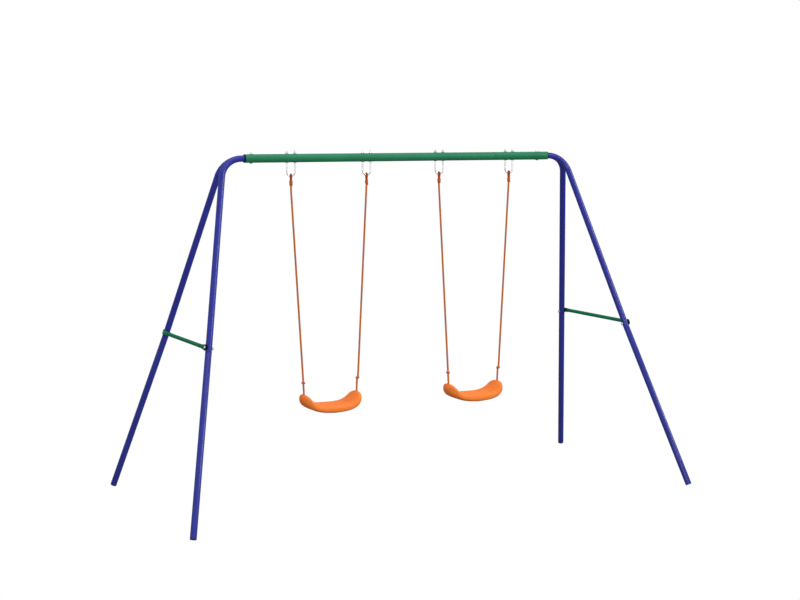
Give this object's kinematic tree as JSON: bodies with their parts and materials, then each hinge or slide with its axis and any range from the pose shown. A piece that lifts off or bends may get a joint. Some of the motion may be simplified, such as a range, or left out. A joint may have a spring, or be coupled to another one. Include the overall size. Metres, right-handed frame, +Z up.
{
  "type": "swing set",
  "caption": "Free-standing garden swing set: blue tubular A-frames carry a green crossbar, and curved orange seats hang from it on knotted ropes looped through steel U-bolts.",
  "frame": {"origin": "on the ground under the middle of the frame", "axes": "+X along the crossbar to the right as seen from the front, +Y to the back, +Z up"},
  "size_m": [2.8526, 1.3736, 1.82],
  "materials": {
    "blue_paint": "semi-gloss powder coat",
    "green_paint": "semi-gloss powder coat",
    "orange_plastic": "satin moulded plastic",
    "rope": "laid synthetic rope",
    "black_plastic": "moulded",
    "navy_plastic": "moulded",
    "zinc": "bright zinc plating"
  },
  "bodies": {
    "frame": {"crossbar_long_section": "green_paint", "crossbar_short_section": "green_paint", "left_crossbar_bushing": "black_plastic", "left_crossbar_bolt": "zinc", "left_crossbar_nut": "zinc", "left_cross_brace": "green_paint", "right_crossbar_bushing": "black_plastic", "right_crossbar_bolt": "zinc", "right_crossbar_nut": "zinc", "right_cross_brace": "green_paint", "left_front_upper_leg": "blue_paint", "left_front_lower_leg": "blue_paint", "left_front_foot_plug": "navy_plastic", "left_front_brace_saddle": "black_plastic", "left_front_brace_bolt": "zinc", "left_front_brace_nut": "zinc", "left_front_brace_cap": "black_plastic", "left_rear_upper_leg": "blue_paint", "left_rear_lower_leg": "blue_paint", "left_rear_foot_plug": "navy_plastic", "left_rear_brace_saddle": "black_plastic", "left_rear_brace_bolt": "zinc", "left_rear_brace_nut": "zinc", "right_front_upper_leg": "blue_paint", "right_front_lower_leg": "blue_paint", "right_front_foot_plug": "navy_plastic", "right_front_brace_saddle": "black_plastic", "right_front_brace_bolt": "zinc", "right_front_brace_nut": "zinc", "right_front_brace_cap": "black_plastic", "right_rear_upper_leg": "blue_paint", "right_rear_lower_leg": "blue_paint", "right_rear_foot_plug": "navy_plastic", "right_rear_brace_saddle": "black_plastic", "right_rear_brace_bolt": "zinc", "right_rear_brace_nut": "zinc", "left_outer_u_bolt": "zinc", "left_outer_u_bolt_nut_a": "zinc", "left_outer_u_bolt_nut_b": "zinc", "left_inner_u_bolt": "zinc", "left_inner_u_bolt_nut_a": "zinc", "left_inner_u_bolt_nut_b": "zinc", "right_outer_u_bolt": "zinc", "right_outer_u_bolt_nut_a": "zinc", "right_outer_u_bolt_nut_b": "zinc", "right_inner_u_bolt": "zinc", "right_inner_u_bolt_nut_a": "zinc", "right_inner_u_bolt_nut_b": "zinc"},
    "left_ropes": {"left_outer_rope": "rope", "left_inner_rope": "rope"},
    "left_swing_seat": {"left_seat": "orange_plastic"},
    "right_ropes": {"right_outer_rope": "rope", "right_inner_rope": "rope"},
    "right_swing_seat": {"right_seat": "orange_plastic"}
  },
  "joints": [
    {"name": "left_swing", "type": "hinge", "parent": "frame", "child": "left_ropes", "pos_m": [-0.4155, 0, 1.6875], "axis": [1, 0, 0], "range_deg": [-60, 60]},
    {"name": "left_seat_tilt", "type": "hinge", "parent": "left_ropes", "child": "left_swing_seat", "pos_m": [-0.4155, 0, 0.537], "axis": [1, 0, 0], "range_deg": [-20, 20]},
    {"name": "right_swing", "type": "hinge", "parent": "frame", "child": "right_ropes", "pos_m": [0.4385, 0, 1.6875], "axis": [1, 0, 0], "range_deg": [-60, 60]},
    {"name": "right_seat_tilt", "type": "hinge", "parent": "right_ropes", "child": "right_swing_seat", "pos_m": [0.4385, 0, 0.537], "axis": [1, 0, 0], "range_deg": [-20, 20]}
  ]
}
